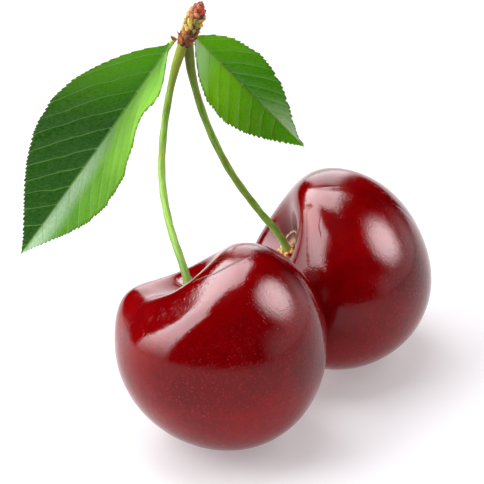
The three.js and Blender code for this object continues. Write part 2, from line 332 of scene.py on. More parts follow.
def settle(piece, node):
    """Slides a piece over the ground until its box is centred on its frame node's.

    Gives how far it moved.
    """
    low, high = (np.array(corner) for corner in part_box(node))
    places = vertices(piece)
    step = (low + high) / 2 - (places.min(0) + places.max(0)) / 2
    step[2] = 0
    shape(piece, places + step)
    return step


def grow_fruit(name, node, fruit, material):
    """Makes a fruit where its node lies. Gives the piece and the fruit's middle, in millimetres."""
    piece = add_primitive(bpy.ops.mesh.primitive_uv_sphere_add, name,
                          segments=FRUIT_SEGMENTS, ring_count=FRUIT_RINGS, radius=1)
    ball = vertices(piece)
    theta = np.arccos(np.clip(ball[:, 2], -1, 1))
    phi = np.arctan2(ball[:, 1], ball[:, 0])
    grown, ring = fruit_skin(fruit, theta, phi)
    places = grown @ fruit_axes(fruit)
    middle = np.array((0, 0, -places[:, 2].min() - REST_DEPTH))
    shape(piece, (places + middle) * MM)
    middle += settle(piece, node) / MM
    places = vertices(piece)
    places[:, 2] = np.maximum(places[:, 2], 0)
    shape(piece, places)

    stalk_half = theta < np.pi / 2
    # Painted shade: how strongly the skin is darkened in the stalk's dip
    keep_value(piece, "cavity", np.exp(-(ring / CAVITY_SHADE_REACH) ** 2) * stalk_half)
    russet = 0.8 * np.exp(-((ring - RUSSET_RING) / RUSSET_HALF_WIDTH) ** 2)
    keep_value(piece, "russet", russet * stalk_half)
    keep_value(piece, "blossom", np.clip((theta - 0.8) / 0.9, 0, 1))
    turn = np.degrees(phi)
    turns, rings = zip(*fruit["crease"])
    keep_value(piece, "crease_off", ring - np.interp(turn, turns, rings))
    keep_value(piece, "crease_run", between(turn, turns[0], turns[-1]) * stalk_half)
    glint_line, start, end = fruit["glint_line"]
    # Where the painted highlight line runs
    keep_value(piece, "glint_line_off", ring - glint_line)
    keep_value(piece, "glint_line_run", between(turn, start, end) * stalk_half)
    finish_mesh(piece, material)
    return piece, middle


fruit_finish = cherry_skin()

front_fruit, front_middle = grow_fruit("cherry_front", "front_fruit", FRONT_FRUIT, fruit_finish)
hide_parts("front_fruit")
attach(front_fruit, "root")

back_fruit, back_middle = grow_fruit("cherry_back", "back_fruit", BACK_FRUIT, fruit_finish)
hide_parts("back_fruit")
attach(back_fruit, "root")


# Spur
# The short twig end that both stalks and both leaves grow from. Its bark is hidden under old
# bud scales that lap over one another up to a dry, dark point. The core is a rolled sheet and
# each scale is a small cupped sheet with a thickness of its own.
SPUR_LENGTH = 5.9
SPUR_HALF = 1.25                        # half its thickness where it is fullest
SPUR_FOOT_HALF = 0.85
SPUR_AXIS = unit((0.4, 0.26, 0.88))
SCALE_ROWS = 13
SCALES_ROUND = 6
SCALE_THICKNESS = 0.08


def rolled_sheet(name, sides, steps):
    """A flat grid to roll into a tube. Gives it with each vertex's turn and share along."""
    piece = add_primitive(bpy.ops.mesh.primitive_grid_add, name, size=1,
                          x_subdivisions=sides, y_subdivisions=steps, calc_uvs=True)
    flat = vertices(piece)
    return piece, (flat[:, 0] + 0.5) * 2 * np.pi, flat[:, 1] + 0.5


def close_tube(piece):
    """Welds the seam of a rolled sheet and closes its two ends."""
    edit(piece, (bpy.ops.mesh.remove_doubles, {"threshold": 0.001 * MM}),
         (bpy.ops.mesh.fill_holes, {"sides": 0}))


def solidify(piece, thickness):
    """Gives a sheet its thickness, half to each side."""
    bpy.ops.object.select_all(action="DESELECT")
    piece.select_set(True)
    bpy.context.view_layer.objects.active = piece
    wall = piece.modifiers.new("wall", "SOLIDIFY")
    wall.thickness = thickness * MM
    wall.offset = 0
    wall.use_even_offset = False
    bpy.ops.object.modifier_apply(modifier="wall")


def join(piece, others):
    bpy.ops.object.select_all(action="DESELECT")
    for other in (*others, piece):
        other.select_set(True)
    bpy.context.view_layer.objects.active = piece
    bpy.ops.object.join()


def paint(piece, tone):
    """Stores one colour for all of a piece, for the material to read."""
    attribute = piece.data.color_attributes.new("tone", "FLOAT_COLOR", "POINT")
    attribute.data.foreach_set("color", np.tile(tone, len(piece.data.vertices)))


def spur_half(share):
    """The spur's half-thickness at a share of its length."""
    return np.interp(share, (0, 0.12, 0.25, 0.36, 0.48, 0.6, 0.7, 0.82, 0.93, 1),
                     (SPUR_FOOT_HALF, 1.02, 1.17, 1.12, SPUR_HALF, 1.19, 1.22, 1.0, 0.56, 0.02))


def bud_bark():
    bark = Finish("bud_scales")
    place = bark.place()
    tone = bark.node("Attribute", {"attribute_name": "tone"}).outputs["Color"]
    fibre = bark.noise(place, 3200.0, 4.0, 0.6)
    dark = bark.blend(bark.spread(fibre, 0.42, 0.7, 0.0, 0.75), tone, colour(70, 38, 16))
    pale = bark.blend(bark.spread(bark.noise(place, 2100.0, 2.0), 0.58, 0.72, 0.0, 0.35),
                      dark, colour(222, 190, 128))
    bark.set(Base_Color=pale, Roughness=bark.spread(fibre, 0.3, 0.7, 0.5, 0.8),
             Normal=bark.bump(fibre, 0.00006))
    return bark.material


def spur_places(foot, share, turn, out):
    """Points on the spur: share of its length, turn about it, distance out from its axis."""
    first = unit(np.cross(SPUR_AXIS, (0, 1, 0)))
    second = np.cross(SPUR_AXIS, first)
    round_it = np.outer(np.cos(turn), first) + np.outer(np.sin(turn), second)
    return foot + np.outer(share * SPUR_LENGTH, SPUR_AXIS) + round_it * np.reshape(out, (-1, 1))


def scale_tone(share, chance, light):
    """Brown at the foot, straw and moss green half-way, tan above, and red-brown at the point."""
    foot, rust, moss, straw = (164, 88, 30), (120, 62, 20), (168, 160, 50), (206, 176, 92)
    tan, rose, point = (208, 148, 92), (206, 84, 54), (84, 22, 18)
    bands = ((0.0, foot), (0.2, rust), (0.36, straw), (0.5, moss),
             (0.66, tan), (0.8, rose), (0.96, point))
    shares = [start for start, _ in bands]
    mixed = [np.interp(share + chance, shares, [tone[k] for _, tone in bands]) for k in range(3)]
    return colour(*(min(255, light * tone) for tone in mixed))


def grow_spur(name, node, material):
    low, high = (np.array(corner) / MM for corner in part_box(node))
    core, turn, share = rolled_sheet(name, 40, 60)
    half = spur_half(share) * (0.86 + 0.05 * np.cos(5 * turn + 9 * share))
    shape(core, spur_places(np.zeros(3), share, turn, half) * MM)
    close_tube(core)
    paint(core, colour(52, 26, 12))
    chances = np.random.default_rng(7)
    scales = []
    for row in range(SCALE_ROWS):
        for place in range(SCALES_ROUND):
            base = 0.02 + 0.86 * row / (SCALE_ROWS - 1) + chances.uniform(-0.02, 0.02)
            facing = 2 * np.pi * (place + 0.5 * (row % 2)) / SCALES_ROUND + chances.uniform(-0.2, 0.2)
            reach = 0.125 * (1 - 0.3 * row / SCALE_ROWS) * chances.uniform(0.75, 1.4)
            spread = 0.5 * chances.uniform(0.6, 1.25)
            lift = chances.uniform(0.08, 0.42) * (1 - 0.5 * row / SCALE_ROWS)
            lean = chances.uniform(-0.35, 0.35)
            scale = add_primitive(bpy.ops.mesh.primitive_grid_add, "scale", size=1,
                                  x_subdivisions=10, y_subdivisions=10, calc_uvs=True)
            flat = vertices(scale)
            along = flat[:, 1] + 0.5
            width = np.sqrt(np.clip(1 - (along * 1.02) ** 2.6, 0.004, 1)) * (0.8 + 0.35 * along)
            up = np.clip(base + along * reach, 0, 0.995)
            out = spur_half(up) * 0.88 + lift * along ** 1.4
            out -= 0.16 * (2 * flat[:, 0]) ** 2
            twist = facing + lean * along + flat[:, 0] * 2 * spread * width
            shape(scale, spur_places(np.zeros(3), up, twist, out) * MM)
            solidify(scale, SCALE_THICKNESS)
            paint(scale, scale_tone(base, chances.uniform(-0.12, 0.12), chances.uniform(0.75, 1.3)))
            scales.append(scale)
    tip = add_primitive(bpy.ops.mesh.primitive_cone_add, "tip", vertices=14, radius1=0.34 * MM,
                        radius2=0.05 * MM, depth=0.9 * MM)
    edit(tip, (bpy.ops.mesh.subdivide, {"number_cuts": 2}))
    peak = vertices(tip) / MM
    shape(tip, spur_places(np.zeros(3), 0.96 + peak[:, 2] * 0.13, np.arctan2(peak[:, 1], peak[:, 0]),
                           np.hypot(peak[:, 0], peak[:, 1])) * MM)
    paint(tip, colour(58, 20, 14))
    join(core, (*scales, tip))
    places = vertices(core) / MM
    foot = (low + high) / 2 - (places.min(0) + places.max(0)) / 2
    shape(core, (places + foot) * MM)
    finish_mesh(core, material)
    return core, foot


bark_finish = bud_bark()
spur, spur_foot = grow_spur("twig_spur", "spur", bark_finish)
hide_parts("spur")
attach(spur, "root")


# Stalks
# Each fruit hangs on a thin green stalk, slightly ridged and browned in places, that flares
# where it grows out of the fruit and again below the spur. The flare in the fruit ends in a
# torn, straw-coloured collar. A sheet is rolled round each stalk's curve.
STALK_SIDES = 28
STALK_STEPS = 150
STALK_HALF = 0.47                       # half the thickness: along it, at its foot, at its head
STALK_FOOT_HALF = 0.72
STALK_HEAD_HALF = 0.66
FRAME_HEAD_HALF = 0.6                   # the same in the frame, which the head's place follows
FRONT_STALK = {"leaves": (-0.05, 0.09, 0.18), "arrives": (0.16, 0.11, 0.57), "aside": -0.21,
               "tucked": 0.66}
BACK_STALK = {"leaves": (-0.01, -0.02, 0.13), "arrives": (-0.1, 0.13, 0.61), "aside": 1.29,
              "tucked": 1.3}
STALK_ROW_HEADING = 40.0
GAP = 0.3                               # the frame's clearance between grown pieces
FOOT_SINK = 1.3                         # how many gaps the foot runs down into the fruit
TUCKED_SHARE = 0.04                     # the end of the stalk that runs in under the spur


def cubic(points, share):
    """Points on a cubic curve and its unit directions there."""
    first, second, third, fourth = (np.asarray(point, float) for point in points)
    share = np.reshape(share, (-1, 1))
    left = 1 - share
    places = (left ** 3 * first + 3 * left ** 2 * share * second
              + 3 * left * share ** 2 * third + share ** 3 * fourth)
    along = (left ** 2 * (second - first) + 2 * left * share * (third - second)
             + share ** 2 * (fourth - third))
    return places, unit(along)


def stalk_seat(fruit, middle, leaves):
    """Where the stalk's foot meets the floor of the fruit's cavity."""
    axis = fruit_axes(fruit)[2]
    tilt = np.arccos(np.dot(unit(leaves), axis))
    floor = fruit["height"] / 2 - fruit["cavity_depth"]
    rise = fruit["cavity_depth"] * (1 - np.exp(-(STALK_FOOT_HALF / fruit["cavity_radius"]) ** 2))
    return middle + axis * (floor + rise + GAP + STALK_FOOT_HALF * np.sin(tilt))


def stalk_head(stalk):
    row = compass(STALK_ROW_HEADING, 0)
    row = unit(row - SPUR_AXIS * np.dot(row, SPUR_AXIS))
    tilt = np.arccos(np.dot(unit(stalk["arrives"]), SPUR_AXIS))
    return spur_foot - SPUR_AXIS * (GAP + FRAME_HEAD_HALF * np.sin(tilt)) + row * stalk["aside"]


def stalk_skin(name, green, shade, brown, painted_low_tone):
    skin = Finish(name)
    place = skin.place()
    sheet = skin.node("UVMap").outputs["UV"]
    along = skin.node("SeparateXYZ", Vector=sheet).outputs["Y"]
    stretched = skin.node("Mapping", Vector=sheet, Scale=(9.0, 5.0, 1.0)).outputs["Vector"]
    streak = skin.noise(stretched, 3.0, 4.0, 0.6)
    blotch = skin.noise(place, 330.0, 3.0, 0.6)
    body = skin.blend(skin.spread(streak, 0.34, 0.66), green, shade)
    tinged = skin.blend(skin.spread(blotch, 0.5, 0.72, 0.0, 0.55), body, brown)
    top = skin.spread(along, 0.84, 1.0, 0.0, 0.6)
    headed = skin.blend(top, tinged, brown)
    # Painted light and shade: the stalk's lower part is blended towards a painted tone, darker as
    # painted shade on the front stalk and lighter as painted light on the back one
    lower = skin.blend(skin.spread(along, 0.04, 0.42, 0.75, 0.0), headed, painted_low_tone)
    foot = skin.spread(along, 0.0, 0.035, 0.85, 0.0)
    footed = skin.blend(foot, lower, colour(214, 200, 132))
    fine = skin.noise(place, 2600.0, 3.0, 0.6)
    skin.set(Base_Color=footed, Roughness=skin.spread(blotch, 0.3, 0.7, 0.42, 0.54),
             Specular_IOR_Level=0.2,
             Subsurface_Weight=0.12, Subsurface_Radius=(0.6, 1.0, 0.2), Subsurface_Scale=0.0005,
             Normal=skin.bump(skin.math("ADD", streak, fine), 0.00003))
    return skin.material


def collar_finish():
    dry = Finish("dry_collar")
    place = dry.place()
    flake = dry.noise(place, 2400.0, 4.0, 0.65)
    dry.set(Base_Color=dry.ramp(flake, (0.3, colour(128, 72, 34)), (0.5, colour(214, 148, 92)),
                                (0.7, colour(240, 206, 160))),
            Roughness=dry.spread(flake, 0.3, 0.7, 0.55, 0.8), Normal=dry.bump(flake, 0.00008))
    return dry.material


def grow_stalk(name, seat, stalk, material, collar_material):
    head = stalk_head(stalk)
    span = np.linalg.norm(head - seat)
    inner = seat + np.array(stalk["leaves"]) * span
    outer = head - np.array(stalk["arrives"]) * span
    sunk = seat - unit(stalk["leaves"]) * GAP * FOOT_SINK
    inwards = spur_foot + SPUR_AXIS * (stalk["tucked"] + 0.4) - head
    piece, turn, share = rolled_sheet(name, STALK_SIDES, STALK_STEPS)
    places, along = cubic((sunk, inner, outer, head), share)
    end = np.clip((share - (1 - TUCKED_SHARE)) / TUCKED_SHARE, 0, 1)
    places = places + np.outer(end, unit(inwards) * stalk["tucked"])
    first = unit(np.cross(along, (0, 1, 0)))
    second = np.cross(along, first)
    foot, top = np.exp(-(share / 0.05) ** 2), np.exp(-((1 - share) / 0.045) ** 2)
    half = STALK_HALF + (STALK_FOOT_HALF - STALK_HALF) * foot + (STALK_HEAD_HALF - STALK_HALF) * top
    half = half * (1 + 0.025 * np.cos(4 * turn + 5 * share) + 0.03 * np.sin(23 * share + turn))
    half = half + 0.02 * np.sin(61 * share + 2 * turn)
    ring = first * np.cos(turn)[:, None] + second * np.sin(turn)[:, None]
    shape(piece, (places + ring * half[:, None]) * MM)
    close_tube(piece)
    finish_mesh(piece, material)

    collar = add_primitive(bpy.ops.mesh.primitive_torus_add, "collar", major_segments=48,
                           minor_segments=10, major_radius=1, minor_radius=0.32)
    round_it = vertices(collar)
    turn = np.arctan2(round_it[:, 1], round_it[:, 0])
    torn = 1 + 0.12 * np.sin(5 * turn + 1) + 0.1 * np.sin(9 * turn)
    out = np.hypot(round_it[:, 0], round_it[:, 1]) * torn * (STALK_FOOT_HALF + 0.06)
    up = round_it[:, 2] * (0.9 + 0.45 * np.sin(3 * turn) + 0.3 * np.sin(7 * turn + 2))
    axis = unit(stalk["leaves"])
    first = unit(np.cross(axis, (0, 1, 0)))
    second = np.cross(axis, first)
    ring = np.outer(np.cos(turn), first) + np.outer(np.sin(turn), second)
    shape(collar, (sunk + ring * out[:, None] + np.outer(up * 0.7 + 0.12, axis)) * MM)
    finish_mesh(collar, collar_material)
    join(piece, (collar,))
    return piece


collar_look = collar_finish()
front_seat = stalk_seat(FRONT_FRUIT, front_middle, FRONT_STALK["leaves"])
# The front stalk's last colour is painted shade on its lower part
front_stalk = grow_stalk("stalk_front", front_seat, FRONT_STALK, stalk_skin(
    "light_stalk", colour(138, 178, 80), colour(104, 140, 44), colour(146, 146, 42),
    colour(100, 132, 58)), collar_look)
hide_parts("front_stalk")
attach(front_stalk, "root")

back_seat = stalk_seat(BACK_FRUIT, back_middle, BACK_STALK["leaves"])
# The back stalk's last colour is painted light on its lower part
back_stalk = grow_stalk("stalk_back", back_seat, BACK_STALK, stalk_skin(
    "dark_stalk", colour(138, 176, 76), colour(88, 124, 30), colour(104, 108, 36),
    colour(146, 194, 92)), collar_look)
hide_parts("back_stalk")
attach(back_stalk, "root")


# Leaves
# Two cherry leaves, folded up along the midrib: thin, glossy blades with a finely toothed
# margin and side veins that curve towards the tip. Each blade is a grid drawn out to the
# leaf's outline and folded, with a tapering midrib under the fold.
LEAF_FACING = unit((0, -0.9, 0.44))     # the side that the folded halves open towards
LEAF_COLUMNS = 48
BLADE_THICKNESS = 0.16
PETIOLE_SHARE = 0.01
MIDDLE_PULL = 0.75                      # how far a cubic's middle follows its inner points
TOOTH_DEPTH = 0.32
VEIN_SLANT = 0.28                       # how side veins lean to the tip, and how they curl there
VEIN_CURL = 0.065
SHEET_UNIT = 0.01                       # one millimetre of the blade on its flat map
NICK_REACH = 0.025                      # share of the length that a bump or dent takes up
LARGE_LEAF = {
    "length": 49.5, "half_width": 10.0, "round_base": 0.62, "sharp_tip": 1.2,
    "fold_left": (44, 43), "fold_right": (70, 39), "heading": 135, "rise": -52.5, "arch": 1.5,
    "attached": 165, "above": 0.1, "out": 0.45, "veins": 11, "tooth": 0.9, "stations": 560,
    "nick": (0.075, 0.06, 0.13, -0.07),      # a bump and a dent in the margin: place, size
    "painted_sunlit_hand": -1,                        # the half given painted light; the other half gets painted shade
    "flex": ((0.045, -11, 0.05), (0.16, 3, 0.06)),   # where the right half opens or shuts
}
SMALL_LEAF = {
    "length": 28.1, "half_width": 5.6, "round_base": 0.65, "sharp_tip": 1.14,
    "fold_left": (36, 22), "fold_right": (31, 85), "heading": 42.8, "rise": -47.4, "arch": 0.9,
    "attached": 50, "above": 0.72, "out": 0.36, "veins": 10, "tooth": 0.8, "stations": 400,
    "nick": (0.5, 0.0, 0.6, 0.0),            # its margin and its fold are even
    "painted_sunlit_hand": 1,
    "flex": (),
}


def leaf_outline(share, leaf):
    """Half-width at a share of the length, 1 at its widest."""
    base, tip = leaf["round_base"], leaf["sharp_tip"]
    widest = base / (base + tip)
    return (share ** base * (1 - share) ** tip) / (widest ** base * (1 - widest) ** tip)


def leaf_skin(name, leaf, bright, bright_tip, deep, deep_base, vein_colour, painted_sheens):
    """A waxy green blade that lets some light through, with its veins drawn on its flat map.

    The painted sheens are the shares of a whitish painted highlight: along the midrib, by the base,
    and by the far tip.
    """
    skin = Finish(name)
    place = skin.place()
    sheet = skin.node("SeparateXYZ", Vector=skin.node("UVMap").outputs["UV"])
    along = skin.math("DIVIDE", sheet.outputs["X"], SHEET_UNIT)
    sideways = skin.math("DIVIDE", skin.math("SUBTRACT", sheet.outputs["Y"], 0.5), SHEET_UNIT)
    out = skin.math("ABSOLUTE", sideways)
    wander = skin.math("MULTIPLY", skin.math("SUBTRACT", skin.noise(place, 170.0, 2.0), 0.5), 2.4)
    leaned = skin.math("SUBTRACT", along, skin.math("MULTIPLY", out, VEIN_SLANT))
    slant = skin.math("SUBTRACT", leaned, wander)
    curve = skin.math("MULTIPLY", skin.math("MULTIPLY", out, out), VEIN_CURL)
    phase = skin.math("DIVIDE", skin.math("SUBTRACT", slant, curve), leaf["length"] / leaf["veins"])
    away = skin.math("ABSOLUTE", skin.math("SUBTRACT", skin.math("FRACT", phase), 0.5))
    side_vein = skin.spread(away, 0.012, 0.045, 1.0, 0.0)
    midrib = skin.spread(out, 0.06, 0.22, 1.0, 0.0)
    net = skin.node("TexVoronoi", {"feature": "DISTANCE_TO_EDGE"}, Vector=place,
                    Scale=1500.0).outputs["Distance"]
    fine = skin.spread(net, 0.0, 0.2, 1.0, 0.0)
    cloud = skin.noise(place, 150.0, 3.0, 0.6)
    speck = skin.noise(place, 1900.0, 4.0, 0.65)
    share = skin.value("along")
    # Painted light and shade: one folded half takes the bright colours as painted light, the other the
    # deep colours as painted shade
    painted_sunlit = skin.spread(skin.value("painted_sunlit"), 0.3, 0.7)
    painted_shaded = skin.math("SUBTRACT", 1.0, painted_sunlit)
    light = skin.blend(skin.spread(share, 0.1, 0.8), bright, bright_tip)
    dark = skin.blend(skin.spread(share, 0.02, 0.42), deep_base, deep)
    tone = skin.blend(painted_sunlit, dark, light)
    clouded = skin.blend(skin.spread(cloud, 0.35, 0.68, 0.0, 0.35), tone, dark)
    specked = skin.blend(skin.spread(speck, 0.4, 0.7, 0.0, 0.16), clouded, vein_colour)
    # Painted highlight: a whitish sheen painted along the midrib and by the base on the lit half, and
    # by the tip on the shaded half
    by_rib, by_base, by_tip = painted_sheens
    ribward = skin.math("MULTIPLY", skin.spread(out, 0.6, 4.6, 1.0, 0.0), skin.spread(share, 0.3, 0.6))
    rib_sheen = skin.math("MULTIPLY", skin.math("MULTIPLY", ribward, painted_sunlit), by_rib)
    base_sheen = skin.math("MULTIPLY", skin.spread(share, 0.03, 0.26, by_base, 0.0), painted_sunlit)
    tip_sheen = skin.math("MULTIPLY", skin.spread(share, 0.5, 0.9, 0.0, by_tip), painted_shaded)
    painted_sheen = skin.math("ADD", skin.math("ADD", rib_sheen, base_sheen), tip_sheen, clamp=True)
    patchy = skin.math("MULTIPLY", painted_sheen, skin.spread(speck, 0.3, 0.6, 0.65, 1.0))
    sheened = skin.blend(patchy, specked, colour(226, 248, 222))
    netted = skin.blend(skin.math("MULTIPLY", fine, 0.10), sheened, vein_colour)
    veined = skin.blend(skin.math("MULTIPLY", side_vein, 0.62), netted, vein_colour)
    ribbed = skin.blend(skin.math("MULTIPLY", midrib, 0.6), veined, vein_colour)
    edged = skin.blend(skin.value("margin"), ribbed, colour(96, 92, 40))
    height = skin.math("SUBTRACT", skin.math("MULTIPLY", speck, 1.4),
                       skin.math("ADD", skin.math("MULTIPLY", side_vein, 1.2),
                                 skin.math("MULTIPLY", fine, 0.4)))
    relief = skin.bump(height, 0.00007)
    skin.set(Base_Color=edged, Roughness=skin.spread(cloud, 0.3, 0.7, 0.36, 0.46),
             Specular_IOR_Level=0.05, Normal=relief)
    through = skin.node("BsdfTranslucent", Color=skin.blend(0.4, edged, colour(150, 220, 2)),
                        Normal=relief)
    mixed = skin.node("MixShader", {}, Fac=0.36)
    skin.feed(mixed.inputs[1], skin.surface.outputs["BSDF"])
    skin.feed(mixed.inputs[2], through.outputs["BSDF"])
    skin.feed(skin.output.inputs["Surface"], mixed.outputs["Shader"])
    return skin.material


def leaf_midrib(leaf):
    """The four points of the midrib's curve, with its foot where the leaf leaves the spur."""
    along = leaf["above"] / SPUR_AXIS[2]
    beside = spur_half(along / SPUR_LENGTH) + GAP + leaf["out"]
    base = spur_foot + SPUR_AXIS * along + compass(leaf["attached"], 0) * beside
    chord = compass(leaf["heading"], leaf["rise"]) * leaf["length"]
    straight = unit(chord)
    away = unit(straight * np.dot(LEAF_FACING, straight) - LEAF_FACING)
    lift = away * leaf["arch"] / MIDDLE_PULL
    return base, base + chord / 3 + lift, base + chord * 2 / 3 + lift, base + chord


def grow_leaf(name, leaf, material):
    curve = leaf_midrib(leaf)
    piece = add_primitive(bpy.ops.mesh.primitive_grid_add, name, size=1, calc_uvs=True,
                          x_subdivisions=leaf["stations"], y_subdivisions=LEAF_COLUMNS)
    flat = vertices(piece)
    share = np.clip(flat[:, 0] + 0.5, 0, 1) ** 1.15
    across = np.clip(flat[:, 1] * 2, -1, 1)
    blade = np.clip((share - PETIOLE_SHARE) / (1 - PETIOLE_SHARE), 0, 1)
    width = leaf["half_width"] * leaf_outline(blade, leaf)
    bump_at, bump, dent_at, dent = leaf["nick"]
    ragged = 1 + bump * np.exp(-((share - bump_at) / NICK_REACH) ** 2)
    ragged += dent * np.exp(-((share - dent_at) / NICK_REACH) ** 2)
    width *= np.where(across > 0, ragged, 1)
    tooth = np.mod(share * leaf["length"] / leaf["tooth"] + 0.3 * np.sin(share * 40), 1)
    teeth = TOOTH_DEPTH * (tooth ** 1.2 - 0.5) * np.clip(width / 1.2, 0, 1)
    half = np.maximum(width, 0.28 * (1 - share) + 0.04)
    side = np.abs(across) * half + teeth * np.abs(across) ** 8

    places, tangent = cubic(curve, share)
    normal = unit(LEAF_FACING - tangent * (tangent @ LEAF_FACING)[:, None])
    left = np.cross(tangent, normal)
    hand = -np.sign(across)
    right_fold = np.interp(share, (0, 1), leaf["fold_right"])
    for place, swing, reach in leaf["flex"]:
        right_fold = right_fold + swing * np.exp(-((share - place) / reach) ** 2)
    folds = np.where(hand > 0, np.interp(share, (0, 1), leaf["fold_left"]), right_fold)
    # The fold opens softly at the midrib, and each half bellies a little between rib and margin
    opening = 1 - np.exp(-(side / 0.35) ** 2)
    belly = 9 * (1 - 2 * np.abs(across)) * np.sin(np.pi * share)
    fold = np.radians(folds * opening + belly * 0.35)
    outward = left * (hand * np.cos(fold))[:, None] + normal * np.sin(fold)[:, None]
    face = normal * np.cos(fold)[:, None] - left * (hand * np.sin(fold))[:, None]

    spacing = leaf["length"] / leaf["veins"]
    phase = (share * leaf["length"] - VEIN_SLANT * side - VEIN_CURL * side ** 2) / spacing
    away = np.abs(np.mod(phase, 1) - 0.5) * spacing
    full = np.clip(width / leaf["half_width"], 0, 1)
    relief = -0.10 * np.exp(-(away / 0.3) ** 2) * full
    relief += 0.10 * np.sin(2 * np.pi * (phase + 0.25)) * full * np.abs(across) * 0.6
    wave = 0.1 * np.sin(2 * np.pi * phase * 0.5 + hand) * np.abs(across) ** 3 * full
    shape(piece, (places + outward * side[:, None] + face * (relief + wave)[:, None]) * MM)

    corners = np.empty(len(piece.data.loops), int)
    piece.data.loops.foreach_get("vertex_index", corners)
    sheet = np.stack((share * leaf["length"] * SHEET_UNIT, 0.5 - hand * side * SHEET_UNIT), 1)
    piece.data.uv_layers.active.data.foreach_set("uv", sheet[corners].ravel())
    keep_value(piece, "margin", 0.6 * np.abs(across) ** 40 * (tooth > 0.55))
    keep_value(piece, "along", share)
    # Which half of the blade is painted lit and which painted shaded
    keep_value(piece, "painted_sunlit", (hand * leaf["painted_sunlit_hand"] > 0) * 1.0)
    solidify(piece, BLADE_THICKNESS)
    finish_mesh(piece, material)
    return piece, curve


def grow_midrib(name, curve, foot_half, tip_half, material):
    """The rib under a leaf's fold, from the spur to just short of the tip."""
    piece, turn, share = rolled_sheet(name, 14, 110)
    share = share * 0.985
    places, along = cubic(curve, share)
    normal = unit(LEAF_FACING - along * (along @ LEAF_FACING)[:, None])
    left = np.cross(along, normal)
    half = tip_half + (foot_half - tip_half) * (1 - share) ** 1.5
    ring = left * np.cos(turn)[:, None] + normal * np.sin(turn)[:, None]
    sunk = -normal * (half * 0.75)[:, None]
    reach = -along * np.clip(0.04 - share, 0, 1)[:, None] * 9
    shape(piece, (places + ring * half[:, None] + sunk + reach) * MM)
    close_tube(piece)
    finish_mesh(piece, material)
    return piece


def rib_finish():
    rib = Finish("leaf_rib")
    place = rib.place()
    streak = rib.noise(place, 900.0, 3.0, 0.6)
    rib.set(Base_Color=rib.ramp(streak, (0.3, colour(128, 180, 50)), (0.7, colour(196, 214, 110))),
            Roughness=rib.spread(streak, 0.3, 0.7, 0.4, 0.55), Normal=rib.bump(streak, 0.00004))
    return rib.material


rib_look = rib_finish()
large_leaf, large_curve = grow_leaf("leaf_large", LARGE_LEAF, leaf_skin(
    "large_blade", LARGE_LEAF, colour(150, 214, 48), colour(88, 156, 0), colour(16, 84, 0),
    colour(104, 178, 0), colour(150, 198, 108), (0.9, 0.1, 0.0)))
join(large_leaf, (grow_midrib("rib", large_curve, 0.34, 0.06, rib_look),))
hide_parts("large_leaf")
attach(large_leaf, "root")

small_leaf, small_curve = grow_leaf("leaf_small", SMALL_LEAF, leaf_skin(
    "small_blade", SMALL_LEAF, colour(180, 248, 10), colour(112, 196, 0), colour(76, 166, 0),
    colour(124, 208, 6), colour(170, 214, 96), (0.0, 0.85, 0.95)))
join(small_leaf, (grow_midrib("rib", small_curve, 0.26, 0.05, rib_look),))
# The fruits' glossy skins mirror the room and not the leaves
large_leaf.visible_glossy = small_leaf.visible_glossy = False
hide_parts("small_leaf")
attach(small_leaf, "root")


# Stipule
# A small dry scale that stays beside the large leaf's foot, brown at its tip and straw-coloured
# where it grows from the spur. It is a cupped grid with a thickness of its own.
STIPULE_LENGTH = 0.95
STIPULE_HALF = 0.2
STIPULE_THICKNESS = 0.12
STIPULE_LEANS = (195, 42)               # compass and climb
STIPULE_REACH = 0.3                     # how far it runs in to the spur


def stipule_finish():
    dry = Finish("dry_stipule")
    place = dry.place()
    streak = dry.noise(place, 2600.0, 3.0, 0.6)
    tone = dry.ramp(streak, (0.3, colour(120, 82, 46)), (0.7, colour(208, 176, 110)))
    pale = dry.blend(dry.value("foot"), tone, colour(228, 224, 140))
    dry.set(Base_Color=pale, Roughness=dry.spread(streak, 0.3, 0.7, 0.5, 0.75),
            Normal=dry.bump(streak, 0.00005))
    return dry.material


def grow_stipule(name, node, material):
    low, high = (np.array(corner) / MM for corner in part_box(node))
    piece = add_primitive(bpy.ops.mesh.primitive_grid_add, name, size=1, calc_uvs=True,
                          x_subdivisions=30, y_subdivisions=12)
    flat = vertices(piece)
    share, across = flat[:, 0] + 0.5, flat[:, 1] * 2
    half = STIPULE_HALF * np.sqrt(np.clip(1 - share ** 1.8, 0.01, 1)) + 0.03
    along = compass(*STIPULE_LEANS)
    side = unit(np.cross(along, (0, -1, 0.2)))
    face = np.cross(side, along)
    cup = 0.2 * across ** 2 + 0.12 * np.sin(np.pi * share)
    places = (np.outer(share * STIPULE_LENGTH, along) + side * (across * half)[:, None]
              + face * cup[:, None])
    keep_value(piece, "foot", np.clip(1 - share * 2.2, 0, 1))
    shape(piece, places * MM)
    solidify(piece, STIPULE_THICKNESS)
    places = vertices(piece) / MM
    right = np.array((high[0], (low[1] + high[1]) / 2, (low[2] + high[2]) / 2))
    reach = np.array((places[:, 0].max(), (places[:, 1].min() + places[:, 1].max()) / 2,
                      (places[:, 2].min() + places[:, 2].max()) / 2))
    shape(piece, (places + right - reach + np.array((STIPULE_REACH, 0, 0))) * MM)
    finish_mesh(piece, material)
    return piece


stipule = grow_stipule("stipule_scale", "stipule", stipule_finish())
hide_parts("stipule")
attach(stipule, "root")


# Studio
# A wide white floor under soft lights from the left, above, behind and the right. What a glossy
# skin mirrors of the room is a tall light that bends from the left round to the back, a pale
# panel behind and a rounder light on the right. The camera looks down on the pair from 26 degrees.
def studio_finish():
    pale = Finish("pale_floor")
    pale.set(Base_Color=(0.74, 0.735, 0.76, 1.0), Roughness=0.9, Specular_IOR_Level=0.0,
             Emission_Color=(1.0, 0.985, 1.0, 1.0), Emission_Strength=0.32)
    return pale.material


